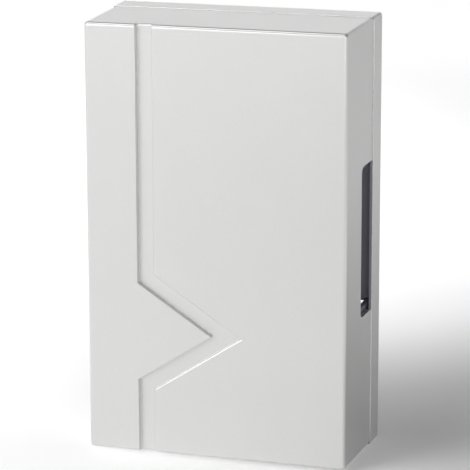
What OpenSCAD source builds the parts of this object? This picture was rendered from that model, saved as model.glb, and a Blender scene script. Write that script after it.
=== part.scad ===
// Two-tone door chime for a wall: a silver housing with sound slots in its sides, and inside it
// a solenoid whose plunger strikes two tone plates in turn.
// Each piece is laid out as it lies on the wall, as [x, up, out], and is turned upright at the end,
// so that the wall is the plane y = 0 and the front faces -Y.

/* [Housing] */
// Width across the back
housing_w = 120; // [116:1:160]
// Height of the back
housing_h = 194; // [188:1:240]
// Depth from the wall to the front face
housing_d = 53.3; // [50:0.1:70]
// Distance from the wall to the seam between base and cover
rim_d = 12.3; // [9:0.1:16]
// Wall thickness of the base's rim
rim_wall = 1.5; // [1.2:0.1:2.4]
// Thickness of the base's floor
floor_t = 2; // [1.6:0.1:3]
// Wall thickness of the cover
cover_wall = 2.2; // [1.6:0.1:3]
// How far the rim stands proud of the cover at the seam
rim_proud = 0.4; // [0.2:0.05:0.8]
// Draft of the outer walls, in degrees
draft = 1; // [0.2:0.1:2]
// Radius of the outer edges
edge_r = 1.5; // [0.6:0.1:2.5]
// Radius of the edges inside the housing
inner_edge_r = 0.8; // [0.4:0.1:1.5]

/* [Front groove] */
// Width of the groove
groove_w = 7.3; // [4:0.1:12]
// Depth of the groove below the front face
groove_depth = 2.4; // [1:0.1:5]
// Centre line of the groove's straight runs
groove_x = -31.8; // [-42:0.1:-20]
// Height where the centre line turns aside
chevron_top = -16.5; // [-30:0.1:0]
// Height where the centre line turns back down
chevron_low = -64.5; // [-80:0.1:-52]
// Tip of the chevron, across
chevron_tip_x = 4.8; // [-10:0.1:20]
// Tip of the chevron, height
chevron_tip_z = -40.5; // [-48:0.1:-32]

/* [Sound slots] */
// Length of each slot, up the side wall
slot_l = 67.6; // [40:0.1:90]
// Width of each slot, from the seam towards the front
slot_w = 16.9; // [8:0.1:22]
// Radius of the slot's front corners
slot_r = 3; // [1:0.1:4]

/* [Cover tongues] */
// Width of each tongue that locates the cover
tongue_w = 12; // [6:0.5:16]
// Thickness of each tongue
tongue_t = 1.9; // [1.2:0.1:2.4]
// How far each tongue reaches past the seam
tongue_reach = 8; // [4:0.5:14]
// How far the side tongues stand across the ends of the sound slots
tongue_lap = 2.6; // [0:0.1:5]
// Clearance between the tongues and the cover
tongue_clearance = 0.15; // [0.1:0.05:0.3]
// Width of the window in the floor beside each side tongue
window_w = 5; // [3:0.1:6]
// Length of each window
window_l = 6; // [3:0.1:10]
// Floor left between a window and its tongue
window_set = 1.6; // [1:0.1:3]

/* [Wall fixing] */
// Diameter of the wall screw holes
wall_hole_d = 4.5; // [3.5:0.1:5.5]
// Distance of the holes from the sides of the housing
wall_hole_in_x = 25; // [22:0.5:30]
// Distance of the holes from its top and bottom
wall_hole_in_z = 17; // [14:0.5:22]
// Diameter of the raised pad round each hole
wall_pad_d = 11; // [9:0.5:14]
// Height of that pad above the floor
wall_pad_h = 1.2; // [0.6:0.1:3]

/* [Cable entry] */
// Bore of the grommet for the bell cable
cable_bore_d = 6; // [3:0.1:7]
// Height of the cable entry above the terminal block's middle
cable_rise = 25; // [23:0.5:28]
// Diameter of the hole that holds the grommet
cable_hole_d = 11; // [9:0.1:12]
// Diameter of the grommet's flanges
cable_flange_d = 15; // [14:0.1:17]
// Thickness of each flange
cable_flange_t = 1.5; // [1:0.1:2]
// Thickness of the wall that the grommet grips
cable_web_t = 2.5; // [1.5:0.1:4]
// Space round and behind the grommet's rear flange
cable_room = 0.8; // [0.3:0.1:2]

/* [Tone plates] */
// Length of the plate with the low note, on the left
plate_low_l = 121; // [110:1:130]
// Length of the plate with the high note, on the right
plate_high_l = 108; // [96:1:118]
// Width of both plates
plate_w = 26; // [20:0.5:32]
// Thickness of both plates
plate_t = 2.5; // [1.5:0.1:3]
// Distance of the struck faces from the sides of the housing
plate_in = 15; // [14:0.1:16]
// Radius of the plates' corners
plate_corner_r = 2; // [1:0.1:5]
// Where a free bar stays still, from each end, as a share of its length
still_ratio = 0.224; // [0.215:0.001:0.235]
// Diameter of the pegs that carry the plates
peg_d = 4; // [3:0.1:5]
// Diameter of the grommets' necks in the plates
plate_neck_d = 7; // [6.2:0.1:8]
// Diameter of the grommets' flanges
plate_flange_d = 10; // [9:0.1:12]
// Thickness of those flanges
plate_flange_t = 1.5; // [0.8:0.1:2]
// Diameter of the caps on the pegs
cap_d = 8; // [6.5:0.1:9]
// Length of the caps
cap_l = 3; // [2:0.1:3.5]
// Thickness of the caps' closed ends
cap_end_t = 0.8; // [0.5:0.1:1.2]
// Width of the uprights that carry the pegs
upright_w = 10; // [8:0.5:14]
// Thickness of the uprights
upright_t = 5; // [3:0.5:6]
// Foot of the buttress behind each upright
buttress_foot = 10; // [5:0.5:12]
// Height of the buttress above the floor
buttress_h = 18; // [8:1:20]
// Thickness of the buttress
buttress_t = 2.5; // [1.5:0.1:4]

/* [Striker] */
// Distance from the wall to the striker's axis
axis_out = 27; // [26:0.5:30]
// Diameter of the plunger's steel core
core_d = 8; // [6:0.1:9]
// Travel from rest to the low plate
stroke_low = 2; // [1:0.1:3]
// Travel from rest to the high plate
stroke_high = 9; // [6:0.1:10]
// Gap that is left where a tip meets its plate
strike_gap = 0.15; // [0.1:0.05:0.3]
// Length of the tip that strikes the low plate
tip_low_l = 6.85; // [5:0.05:9]
// Length of the tip that strikes the high plate
tip_high_l = 14.85; // [12:0.05:17]
// Diameter of the striker tips
tip_d = 6; // [4.5:0.1:8]
// Diameter of the flat that strikes
tip_face_d = 3.6; // [2:0.1:4.4]
// Length of the taper behind that flat
tip_taper = 1.4; // [0.5:0.1:1.5]
// Diameter of the tips' shoulders
shoulder_d = 10; // [9.2:0.1:11]
// Thickness of the shoulders
shoulder_t = 1.4; // [0.8:0.1:1.5]
// Diameter of the shanks that plug into the core
shank_d = 3.6; // [2.5:0.1:4]
// Length of the shanks
shank_l = 6; // [3:0.5:10]
// Outer diameter of the spring collar
collar_d = 13; // [12.5:0.1:16]
// Thickness of the spring collar
collar_t = 1.5; // [1:0.1:2]

/* [Return spring] */
// Length of the spring at rest
spring_l = 16.5; // [13:0.5:18]
// Mean diameter of the spring
spring_d = 11; // [10.5:0.1:11.5]
// Diameter of the spring wire
spring_wire = 0.7; // [0.5:0.05:0.8]
// Number of turns
spring_turns = 7; // [5:1:8]

/* [Solenoid] */
// Width of the frame's strip
frame_w = 24; // [22:0.5:26]
// Thickness of the frame's strip
frame_t = 2; // [1.5:0.1:2.5]
// Gap between the frame's back and the bobbin
frame_gap = 0.6; // [0.3:0.1:1.5]
// Width of the two fixing ears
ear_w = 12; // [9:0.5:16]
// Length of the two fixing ears
ear_l = 10; // [9:0.5:12]
// Diameter of the bobbin's flanges
bobbin_d = 25.6; // [24.4:0.1:27]
// Thickness of the flanges
bobbin_flange_t = 1.5; // [1:0.1:2.5]
// Wall of the bobbin's tube
bobbin_wall = 1.2; // [0.8:0.1:2]
// Outer diameter of the copper winding
winding_d = 22.4; // [18:0.1:23]
// Thickness of the insulating tape
tape_t = 0.5; // [0.4:0.1:0.6]
// Wall of the brass guide tube
tube_wall = 0.5; // [0.4:0.1:0.7]
// How far the guide tube stands out of the frame at each end
tube_end = 1; // [0.5:0.1:2]

/* [Terminals] */
// Distance between the two poles
pole_gap = 16; // [15:0.5:20]
// Height of the terminal block's middle above the housing's lower edge
block_rise = 25; // [23:0.5:27]
// Height of its seat above the floor
block_seat = 6; // [4:0.5:8]
// Wall thickness of the block
block_wall = 2; // [1.5:0.1:3]
// Diameter of the wire entries
entry_d = 3; // [1.5:0.1:3.4]
// Width of a clamp cage
cage_w = 8.4; // [8:0.1:9]
// Length of a clamp cage along the wire
cage_l = 7; // [5:0.1:9]
// Wall thickness of a clamp cage
cage_wall = 1.2; // [1:0.1:1.6]
// Clearance round a clamp cage
cage_clearance = 0.2; // [0.15:0.05:0.4]
// Travel of a clamp cage
cage_travel = 2.4; // [1.2:0.6:3]
// Space left under the contact bar when the cage has risen
cage_rest = 0.2; // [0.1:0.05:0.5]
// Space left over the contact bar when the cage is down
bar_room = 0.6; // [0.3:0.1:1.5]
// Width of a contact bar
bar_w = 5; // [3.5:0.1:5.4]
// Thickness of a contact bar
bar_t = 1.2; // [0.8:0.1:1.6]
// Length of the tail below the block
bar_tail = 4; // [2:0.1:5]
// Diameter of the terminal screws
clamp_screw_d = 3.5; // [3:0.1:4]
// Diameter of their heads
clamp_head_d = 5.8; // [5:0.1:6.6]

/* [Fixing screws] */
// Diameter of the screws that fix the solenoid and the terminal block
fix_d = 3; // [2.5:0.1:3.5]
// How far the solenoid's screws go into their posts
fix_bite = 6; // [3:0.5:6.5]
// Diameter of the screw heads
fix_head_d = 5.6; // [5:0.1:6]
// Height of all screw heads
head_h = 2; // [1.4:0.1:2.4]
// Width of the driver slots
driver_slot_w = 0.9; // [0.6:0.1:1.2]
// Depth of the driver slots
driver_slot_h = 1.1; // [0.6:0.1:1.2]
// Diameter of the posts that take the screws
post_d = 8; // [7:0.1:9]

/* [Coil leads] */
// Diameter of the two wires between coil and terminals
lead_d = 1.2; // [0.8:0.1:1.2]
// Thickness of the guides that hold them on the floor
guide_t = 1; // [0.8:0.1:1.5]
// Length of the guides
guide_l = 4; // [2:0.5:6]
// Height of the guides above the floor
guide_h = 2.4; // [1.5:0.1:3]
// Space between the wires and the cable entry or the terminal block
lead_room = 5.6; // [4:0.1:8]
// How far each wire hangs below its contact bar's tail before it turns up
lead_hook = 10; // [8:0.5:12]

/* [Clearances] */
// Clearance where one fixed piece sits on or in another
seat = 0.05; // [0.03:0.01:0.08]
// Clearance round the sliding core and the turning screws
running = 0.08; // [0.05:0.01:0.1]
// Clearance round screw shanks in plain holes
screw_clearance = 0.2; // [0.1:0.05:0.3]

/* [Hidden] */

$fn = 64;
hull_fn = 32;
// Overrun of cuts past the faces that they open
over = 1;
// Thickness of the slices that a drafted block is drawn between
slice = 0.01;
sides = [-1, 1];
LEFT = -1;
RIGHT = 1;

// The drafted walls at a distance from the wall
function lean(out) = out * tan(draft);
function base_size(out) = [housing_w, housing_h] - 2 * lean(out) * [1, 1];
function cover_size(out) = base_size(out) - 2 * rim_proud * [1, 1];
function cover_space(out) = cover_size(out) - 2 * cover_wall * [1, 1];
cover_front_in = housing_d - cover_wall;

// The groove's centre line, and its outline at half a width, mitred at each turn
groove_end = housing_h / 2 + over;
groove_path = [
    [groove_x, groove_end],
    [groove_x, chevron_top],
    [chevron_tip_x, chevron_tip_z],
    [groove_x, chevron_low],
    [groove_x, -groove_end]
];
function unit(v) = v / norm(v);
function left_of(d) = [-d.y, d.x];
function run(path, i) = unit(path[i + 1] - path[i]);
function mitre(path, i) =
    let (
        last = len(path) - 1,
        before = left_of(run(path, max(i - 1, 0))),
        after = left_of(run(path, min(i, last - 1)))
    )
    (before + after) / (1 + before * after);
function beside(path, reach) = [for (i = [0 : len(path) - 1]) path[i] + reach * mitre(path, i)];
function reversed(list) = [for (i = [len(list) - 1 : -1 : 0]) list[i]];
function groove_outline(half) = concat(beside(groove_path, half), reversed(beside(groove_path, -half)));

// Tongues that stand inside the cover's walls
tongue_top = rim_d + tongue_reach;
tongue_face = cover_space(tongue_top) / 2 - tongue_clearance * [1, 1];
side_tongue_z = slot_l / 2 - tongue_lap + tongue_w / 2;

// Holes for the wall screws
wall_hole_x = housing_w - 2 * wall_hole_in_x;
wall_hole_z = housing_h - 2 * wall_hole_in_z;

// Striker axis, in from the struck faces
strike_x = housing_w / 2 - plate_in;
core_from = -strike_x + strike_gap + stroke_low + tip_low_l;
core_to = strike_x - strike_gap - stroke_high - tip_high_l;
frame_end = -core_from - collar_t - spring_l;
frame_l = 2 * (frame_end - frame_t);
tube_bore = core_d + 2 * running;
tube_d = tube_bore + 2 * tube_wall;
bobbin_bore = tube_d + 2 * seat;
bobbin_tube_d = bobbin_bore + 2 * bobbin_wall;
bobbin_l = frame_l - 2 * seat;
winding_l = bobbin_l - 2 * bobbin_flange_t - 2 * seat;
tape_bore = winding_d + 2 * seat;
tape_d = tape_bore + 2 * tape_t;
frame_back = axis_out - bobbin_d / 2 - frame_gap - frame_t;
frame_front = axis_out + frame_w / 2;
ear_hole = frame_w / 2 + ear_l / 2;

// Tone plates and what carries them
plate_lengths = [plate_low_l, plate_high_l];
function still_z(length) = length / 2 - length * still_ratio;
grommet_from = strike_x - seat - plate_flange_t;
grommet_to = strike_x + plate_t + seat + plate_flange_t;
upright_face = grommet_from - seat;
cap_from = grommet_to + seat;
peg_to = cap_from + cap_l - cap_end_t - seat;

// Cable entry
block_z = block_rise - housing_h / 2;
cable_z = block_z + cable_rise;
cable_recess = cable_flange_t + cable_room + seat;
cable_web_to = cable_recess + cable_web_t;
cable_boss_d = cable_flange_d + 2 * cable_room + 2 * rim_wall;

// Terminal block, outwards from its seat
block_from = floor_t + block_seat;
chamber_from = block_from + block_wall;
cage_from = chamber_from + cage_clearance;
wire_gap = cage_travel + cage_rest;
bar_from = cage_from + cage_wall + wire_gap;
bar_to = bar_from + bar_t;
cage_to = bar_to + bar_room + cage_wall;
chamber_to = cage_to + cage_travel + cage_clearance;
block_to = chamber_to + block_wall;
chamber_w = cage_w + 2 * cage_clearance;
chamber_l = cage_l + 2 * cage_clearance;
block_w = pole_gap + chamber_w + 2 * block_wall;
block_l = chamber_l + 2 * block_wall;
block_low = block_z - block_l / 2;
block_high = block_z + block_l / 2;
pole_x = pole_gap / 2;
entry_out = cage_from + cage_wall + wire_gap / 2;
clamp_head_from = chamber_to + cage_clearance;
block_head_from = block_to - head_h - cage_clearance;
rail_w = 2 * block_wall;

// Route of the right-hand coil lead: off the tape, down to the floor, past the cable entry and the
// terminal block, and up to its contact bar. It runs straight down at each of these places.
lead_floor = floor_t + lead_d / 2 + 2 * seat;
lead_pass = cable_boss_d / 2 + lead_room;
lead_side = block_w / 2 + lead_room;
lead_places = [
    [winding_l / 4, -tape_d / 2 - seat, axis_out],
    [lead_pass, cable_z + guide_l, lead_floor],
    [lead_pass, cable_z - guide_l, lead_floor],
    [lead_side, block_high, lead_floor],
    [lead_side, block_low, lead_floor]
];
lead_end = [pole_x, block_low - bar_tail - seat, (bar_from + bar_to) / 2];
lead_guides = [[lead_pass, cable_z], [lead_side, block_z]];
lead_steps = 8;
lead_sides = 8;
function bend(a, b, c, d, t) =
    pow(1 - t, 3) * a + 3 * pow(1 - t, 2) * t * b + 3 * (1 - t) * t * t * c + pow(t, 3) * d;
function fall(a, b, t) =
    let (hang = [0, (b.y - a.y) / 2, 0])
    bend(a, a + hang, b - hang, b, t);
function hook(a, b, t) =
    let (hang = [0, -lead_hook, 0])
    bend(a, a + hang, b + hang, b, t);
lead_line = concat(
    [for (i = [0 : len(lead_places) - 2], k = [0 : lead_steps - 1])
        fall(lead_places[i], lead_places[i + 1], k / lead_steps)],
    [for (k = [0 : 2 * lead_steps])
        hook(lead_places[len(lead_places) - 1], lead_end, k / (2 * lead_steps))]
);

// A round tube swept along points: each ring's frame is the one before it, turned as little as possible
function tangent(p, i) = unit(p[min(i + 1, len(p) - 1)] - p[max(i - 1, 0)]);
function square_to(v, t) = unit(v - (v * t) * t);
function ring_normals(p, v, i = 0) =
    i == len(p) ? [] :
    let (n = square_to(v, tangent(p, i)))
    concat([n], ring_normals(p, n, i + 1));
function tube_points(p, r, sides, first) =
    let (normals = ring_normals(p, first))
    [
        for (i = [0 : len(p) - 1])
        let (n = normals[i], b = cross(tangent(p, i), n))
        for (k = [0 : sides - 1])
        p[i] + r * (cos(360 * k / sides) * n + sin(360 * k / sides) * b)
    ];
function tube_faces(rings, sides) = concat(
    [
        for (i = [0 : rings - 2])
        for (k = [0 : sides - 1])
        let (a = i * sides + k, b = i * sides + (k + 1) % sides)
        for (face = [[a, a + sides, b], [b, a + sides, b + sides]])
        face
    ],
    [for (k = [1 : sides - 2]) [0, k, k + 1]],
    [for (k = [1 : sides - 2]) (rings - 1) * sides * [1, 1, 1] + [0, k + 1, k]]
);

// Centre line of the return spring, along x, with straight ends one wire long
spring_curl = 8;
spring_sides = 6;
spring_from = -frame_end - seat - spring_wire / 2;
spring_to = -frame_end - spring_l + seat + spring_wire / 2;
spring_rings = spring_turns * spring_curl;
function spring_point(i) =
    let (angle = 360 * i / spring_curl)
    [
        spring_from + (spring_to - spring_from) * i / spring_rings,
        spring_d / 2 * cos(angle),
        axis_out + spring_d / 2 * sin(angle)
    ];
function spring_way(i) =
    let (angle = 360 * i / spring_curl)
    [0, -sin(angle), cos(angle)];
spring_line = concat(
    [spring_point(0) - spring_wire * spring_way(0)],
    [for (i = [0 : spring_rings]) spring_point(i)],
    [spring_point(spring_rings) + spring_wire * spring_way(spring_rings)]
);
spring_gap = min([
    for (i = [0 : len(spring_line) - 1])
    for (k = [i + spring_curl / 2 : 1 : len(spring_line) - 1])
    norm(spring_line[i] - spring_line[k]) - spring_wire
]);
echo(return_spring_least_gap_to_itself = spring_gap);

// Turns what is drawn on the wall upright
module from_wall() {
    rotate([90, 0, 0]) children();
}

// A round rod along the striker's axis, between two places across
module rod_x(from, to, d) {
    translate([from, 0, axis_out])
        rotate([0, 90, 0])
            cylinder(d = d, h = to - from);
}

// A round rod that stands out from the wall
module rod_out(x, up, from, to, d) {
    translate([x, up, from])
        cylinder(d = d, h = to - from);
}

// A box given by its two corners
module span(low, high) {
    translate(low)
        cube(high - low);
}

// A flat shape with round corners
module round_rect(size, r) {
    square(size - [2 * r, 0], center = true);
    square(size - [0, 2 * r], center = true);
    for (x = sides, y = sides)
        translate([x * (size.x / 2 - r), y * (size.y / 2 - r)])
            circle(r);
}

// The four corners of a rectangle
module at_corners(size) {
    for (x = sides, y = sides)
        translate([x * size.x / 2, y * size.y / 2])
            children();
}

// A block with upright corners rounded, whose walls lean between two sizes
module drafted_block(from, size_from, to, size_to, r) {
    hull() {
        translate([0, 0, from])
            at_corners(size_from - 2 * r * [1, 1])
                cylinder(r = r, h = slice, $fn = hull_fn);
        translate([0, 0, to - slice])
            at_corners(size_to - 2 * r * [1, 1])
                cylinder(r = r, h = slice, $fn = hull_fn);
    }
}

// The cover's outside, with its front edges rounded too
module cover_block() {
    hull() {
        translate([0, 0, rim_d])
            at_corners(cover_size(rim_d) - 2 * edge_r * [1, 1])
                cylinder(r = edge_r, h = slice, $fn = hull_fn);
        translate([0, 0, housing_d - edge_r])
            at_corners(cover_size(housing_d - edge_r) - 2 * edge_r * [1, 1]) {
                sphere(edge_r, $fn = hull_fn);
                translate([0, 0, edge_r - slice])
                    cylinder(r = slice, h = slice, $fn = hull_fn);
            }
    }
}

// The space inside the cover, less the ridge that backs the groove
module cover_cavity() {
    difference() {
        drafted_block(
            rim_d - over, cover_space(rim_d - over),
            cover_front_in, cover_space(cover_front_in), inner_edge_r
        );
        translate([0, 0, cover_front_in - groove_depth])
            linear_extrude(groove_depth + over)
                polygon(groove_outline(groove_w / 2 + cover_wall));
    }
}

module cover_groove() {
    translate([0, 0, housing_d - groove_depth])
        linear_extrude(groove_depth + over)
            polygon(groove_outline(groove_w / 2));
}

// Both sound slots at once, open towards the seam
module sound_slots() {
    rotate([90, 0, 90])
        linear_extrude(housing_w + 2 * over, center = true)
            translate([0, rim_d]) {
                translate([-slot_l / 2, -over])
                    square([slot_l, slot_w - slot_r + over]);
                translate([-slot_l / 2 + slot_r, -over])
                    square([slot_l - 2 * slot_r, slot_w + over]);
                for (y = sides)
                    translate([y * (slot_l / 2 - slot_r), slot_w - slot_r])
                        circle(slot_r);
            }
}

module front_cover() {
    color("silver")
        from_wall()
            difference() {
                cover_block();
                cover_cavity();
                cover_groove();
                sound_slots();
            }
}

// Floor and rim of the base
module tray_shell() {
    difference() {
        drafted_block(0, base_size(0), rim_d, base_size(rim_d), edge_r);
        drafted_block(
            floor_t, base_size(floor_t) - 2 * rim_wall * [1, 1],
            rim_d + over, base_size(rim_d + over) - 2 * rim_wall * [1, 1], inner_edge_r
        );
    }
}

// Tongues inside the cover: two on each side wall by the slots' ends, one at the top, one below
module cover_tongues() {
    for (x = sides, y = sides)
        translate([x * (tongue_face.x - tongue_t / 2), y * side_tongue_z, tongue_top / 2])
            cube([tongue_t, tongue_w, tongue_top], center = true);
    for (y = sides)
        translate([0, y * (tongue_face.y - tongue_t / 2), tongue_top / 2])
            cube([tongue_w, tongue_t, tongue_top], center = true);
}

// Windows through the floor, one beside each side tongue
module tongue_windows() {
    for (x = sides, y = sides)
        translate([
            x * (tongue_face.x - tongue_t - window_set - window_w / 2),
            y * (side_tongue_z - tongue_w / 2 + window_set + window_l / 2),
            floor_t / 2
        ])
            cube([window_w, window_l, floor_t + 2 * over], center = true);
}

// An upright with its peg and buttress, for the plate on the given side
module plate_upright(side, up) {
    mirror([side < 0 ? 1 : 0, 0, 0])
        translate([0, up, 0]) {
            translate([upright_face - upright_t, 0, 0])
                rotate([90, 0, 90])
                    linear_extrude(upright_t) {
                        translate([-upright_w / 2, floor_t / 2])
                            square([upright_w, axis_out - floor_t / 2]);
                        translate([0, axis_out])
                            circle(d = upright_w);
                    }
            translate([0, buttress_t / 2, 0])
                rotate([90, 0, 0])
                    linear_extrude(buttress_t)
                        polygon([
                            [upright_face - upright_t / 2, floor_t / 2],
                            [upright_face - upright_t - buttress_foot, floor_t / 2],
                            [upright_face - upright_t - buttress_foot, floor_t],
                            [upright_face - upright_t, floor_t + buttress_h],
                            [upright_face - upright_t / 2, floor_t + buttress_h]
                        ]);
            rod_x(upright_face - upright_t / 2, peg_to, peg_d);
        }
}

// Seat of the terminal block: two rails and the post for its screw
module block_seat_rails() {
    for (x = sides)
        translate([x * (block_w - rail_w) / 2, block_z, block_from / 2])
            cube([rail_w, block_l, block_from], center = true);
    rod_out(0, block_z, 0, block_from, post_d);
}

// Pairs of guides that hold the coil leads on the floor
module lead_guide_pairs() {
    for (x = sides, guide = lead_guides, y = sides)
        translate([
            x * guide.x + y * (lead_d + guide_t + 2 * screw_clearance) / 2,
            guide.y,
            (floor_t + guide_h) / 2
        ])
            cube([guide_t, guide_l, floor_t + guide_h], center = true);
}

module base_tray() {
    color("dimgray")
        from_wall()
            difference() {
                union() {
                    tray_shell();
                    cover_tongues();
                    lead_guide_pairs();
                    block_seat_rails();
                    for (y = sides)
                        rod_out(0, y * ear_hole, 0, frame_back - seat, post_d);
                    for (x = sides, y = sides)
                        rod_out(x * wall_hole_x / 2, y * wall_hole_z / 2, 0, floor_t + wall_pad_h, wall_pad_d);
                    rod_out(0, cable_z, 0, cable_web_to, cable_boss_d);
                    for (side = sides, y = sides)
                        plate_upright(side, y * still_z(plate_lengths[side < 0 ? 0 : 1]));
                }
                tongue_windows();
                for (x = sides, y = sides)
                    rod_out(
                        x * wall_hole_x / 2, y * wall_hole_z / 2,
                        -over, floor_t + wall_pad_h + over, wall_hole_d
                    );
                rod_out(0, cable_z, -over, cable_recess, cable_flange_d + 2 * cable_room);
                rod_out(0, cable_z, -over, cable_web_to + over, cable_hole_d);
                for (y = sides)
                    rod_out(0, y * ear_hole, frame_back - fix_bite - over, frame_back + over, fix_d + 2 * seat);
                rod_out(0, block_z, floor_t, block_from + over, fix_d + 2 * seat);
            }
}

// Bent steel strip that carries the coil, with an ear above and below for its screws
module solenoid_frame() {
    color("lightslategray")
        from_wall()
            difference() {
                union() {
                    span([-frame_end, -frame_w / 2, frame_back], [frame_end, frame_w / 2, frame_back + frame_t]);
                    for (x = sides)
                        translate([x * (frame_end - frame_t / 2), 0, (frame_back + frame_front) / 2])
                            cube([frame_t, frame_w, frame_front - frame_back], center = true);
                    translate([0, 0, frame_back + frame_t / 2])
                        cube([ear_w, frame_w + 2 * ear_l, frame_t], center = true);
                }
                rod_x(-frame_end - over, frame_end + over, tube_d + 2 * seat);
                for (y = sides)
                    rod_out(
                        0, y * ear_hole, frame_back - over, frame_back + frame_t + over,
                        fix_d + 2 * screw_clearance
                    );
            }
}

module coil_bobbin() {
    color("ivory")
        from_wall()
            difference() {
                union() {
                    rod_x(-bobbin_l / 2, bobbin_l / 2, bobbin_tube_d);
                    rod_x(-bobbin_l / 2, -bobbin_l / 2 + bobbin_flange_t, bobbin_d);
                    rod_x(bobbin_l / 2 - bobbin_flange_t, bobbin_l / 2, bobbin_d);
                }
                rod_x(-frame_l / 2 - over, frame_l / 2 + over, bobbin_bore);
            }
}

module coil_winding() {
    color("peru")
        from_wall()
            difference() {
                rod_x(-winding_l / 2, winding_l / 2, winding_d);
                rod_x(-winding_l / 2 - over, winding_l / 2 + over, bobbin_tube_d + 2 * seat);
            }
}

module coil_tape() {
    color("gold")
        from_wall()
            difference() {
                rod_x(-winding_l / 2, winding_l / 2, tape_d);
                rod_x(-winding_l / 2 - over, winding_l / 2 + over, tape_bore);
            }
}

module guide_tube() {
    color("goldenrod")
        from_wall()
            difference() {
                rod_x(-frame_end - tube_end, frame_end + tube_end, tube_d);
                rod_x(-frame_end - tube_end - over, frame_end + tube_end + over, tube_bore);
            }
}

module plunger_core() {
    color("gray")
        from_wall()
            difference() {
                rod_x(core_from, core_to, core_d);
                rod_x(core_from - over, core_from + shank_l + seat, shank_d + 2 * seat);
                rod_x(core_to - shank_l - seat, core_to + over, shank_d + 2 * seat);
            }
}

// A striker tip that stands on the core's end and reaches a length beyond it
module striker_tip(length) {
    translate([0, 0, -shank_l])
        cylinder(d = shank_d, h = shank_l + shoulder_t);
    translate([0, 0, seat])
        cylinder(d = shoulder_d, h = shoulder_t);
    translate([0, 0, seat])
        cylinder(d = tip_d, h = length - seat - tip_taper);
    translate([0, 0, length - tip_taper])
        cylinder(d1 = tip_d, d2 = tip_face_d, h = tip_taper);
}

module striker_tip_low() {
    color("white")
        from_wall()
            translate([core_from, 0, axis_out])
                rotate([0, -90, 0])
                    striker_tip(tip_low_l);
}

module striker_tip_high() {
    color("white")
        from_wall()
            translate([core_to, 0, axis_out])
                rotate([0, 90, 0])
                    striker_tip(tip_high_l);
}

module spring_collar() {
    color("black")
        from_wall()
            difference() {
                rod_x(core_from, core_from + collar_t, collar_d);
                rod_x(core_from - over, core_from + collar_t + over, core_d + 2 * seat);
            }
}

module return_spring() {
    color("lightgray")
        from_wall()
            polyhedron(
                tube_points(spring_line, spring_wire / 2, spring_sides, [1, 0, 0]),
                tube_faces(len(spring_line), spring_sides)
            );
}

// A tone plate on edge, with its two holes at the still points
module tone_plate(side, length) {
    mirror([side < 0 ? 1 : 0, 0, 0])
        difference() {
            translate([strike_x, 0, axis_out])
                rotate([90, 0, 90])
                    linear_extrude(plate_t)
                        round_rect([length, plate_w], plate_corner_r);
            for (y = sides)
                translate([0, y * still_z(length), 0])
                    rod_x(strike_x - over, strike_x + plate_t + over, plate_neck_d + 2 * seat);
        }
}

module tone_plate_low() {
    color("slategray")
        from_wall()
            tone_plate(LEFT, plate_low_l);
}

module tone_plate_high() {
    color("slategray")
        from_wall()
            tone_plate(RIGHT, plate_high_l);
}

// Draws what it holds at each of the four pegs
module at_pegs() {
    for (side = sides, y = sides)
        mirror([side < 0 ? 1 : 0, 0, 0])
            translate([0, y * still_z(plate_lengths[side < 0 ? 0 : 1]), 0])
                children();
}

module plate_grommets() {
    color("whitesmoke")
        from_wall()
            at_pegs()
                difference() {
                    union() {
                        rod_x(grommet_from, grommet_from + plate_flange_t, plate_flange_d);
                        rod_x(grommet_from, grommet_to, plate_neck_d);
                        rod_x(grommet_to - plate_flange_t, grommet_to, plate_flange_d);
                    }
                    rod_x(grommet_from - over, grommet_to + over, peg_d + 2 * seat);
                }
}

module peg_caps() {
    color("black")
        from_wall()
            at_pegs()
                difference() {
                    rod_x(cap_from, cap_from + cap_l, cap_d);
                    rod_x(cap_from - over, cap_from + cap_l - cap_end_t, peg_d + 2 * seat);
                }
}

module terminal_block() {
    color("lightgray")
        from_wall()
            difference() {
                span([-block_w / 2, block_low, block_from + seat], [block_w / 2, block_high, block_to]);
                for (x = sides) {
                    translate([x * pole_x, block_z, (chamber_from + chamber_to) / 2])
                        cube([chamber_w, chamber_l, chamber_to - chamber_from], center = true);
                    translate([x * pole_x, block_low, (bar_from + bar_to) / 2])
                        cube([bar_w + 2 * seat, 2 * block_wall + over, bar_t + 2 * seat], center = true);
                    translate([x * pole_x, block_high + over, entry_out])
                        rotate([90, 0, 0])
                            cylinder(d = entry_d, h = block_wall + 2 * over);
                    rod_out(
                        x * pole_x, block_z, chamber_to - over, block_to + over,
                        clamp_head_d + 2 * cage_clearance
                    );
                }
                rod_out(0, block_z, block_from - over, block_to + over, fix_d + 2 * screw_clearance);
                rod_out(0, block_z, block_head_from - seat, block_to + over, fix_head_d + 2 * cage_clearance);
            }
}

// A contact bar: the flat strip inside a cage, with its tail through the block's lower wall
module contact_bar(side) {
    span(
        [side * pole_x - bar_w / 2, block_low - bar_tail, bar_from],
        [side * pole_x + bar_w / 2, block_high - block_wall - seat, bar_to]
    );
}

module contact_bar_left() {
    color("gold")
        from_wall()
            contact_bar(LEFT);
}

module contact_bar_right() {
    color("gold")
        from_wall()
            contact_bar(RIGHT);
}

// A clamp cage: a loop round the contact bar, with a threaded hole for its screw
module clamp_cage(side) {
    translate([side * pole_x, block_z, 0])
        difference() {
            span([-cage_w / 2, -cage_l / 2, cage_from], [cage_w / 2, cage_l / 2, cage_to]);
            span(
                [-cage_w / 2 + cage_wall, -cage_l / 2 - over, cage_from + cage_wall],
                [cage_w / 2 - cage_wall, cage_l / 2 + over, cage_to - cage_wall]
            );
            rod_out(0, 0, cage_to - cage_wall - bar_room / 2, cage_to + over, clamp_screw_d + 2 * running);
        }
}

module clamp_cage_left() {
    color("silver")
        from_wall()
            clamp_cage(LEFT);
}

module clamp_cage_right() {
    color("silver")
        from_wall()
            clamp_cage(RIGHT);
}

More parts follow.
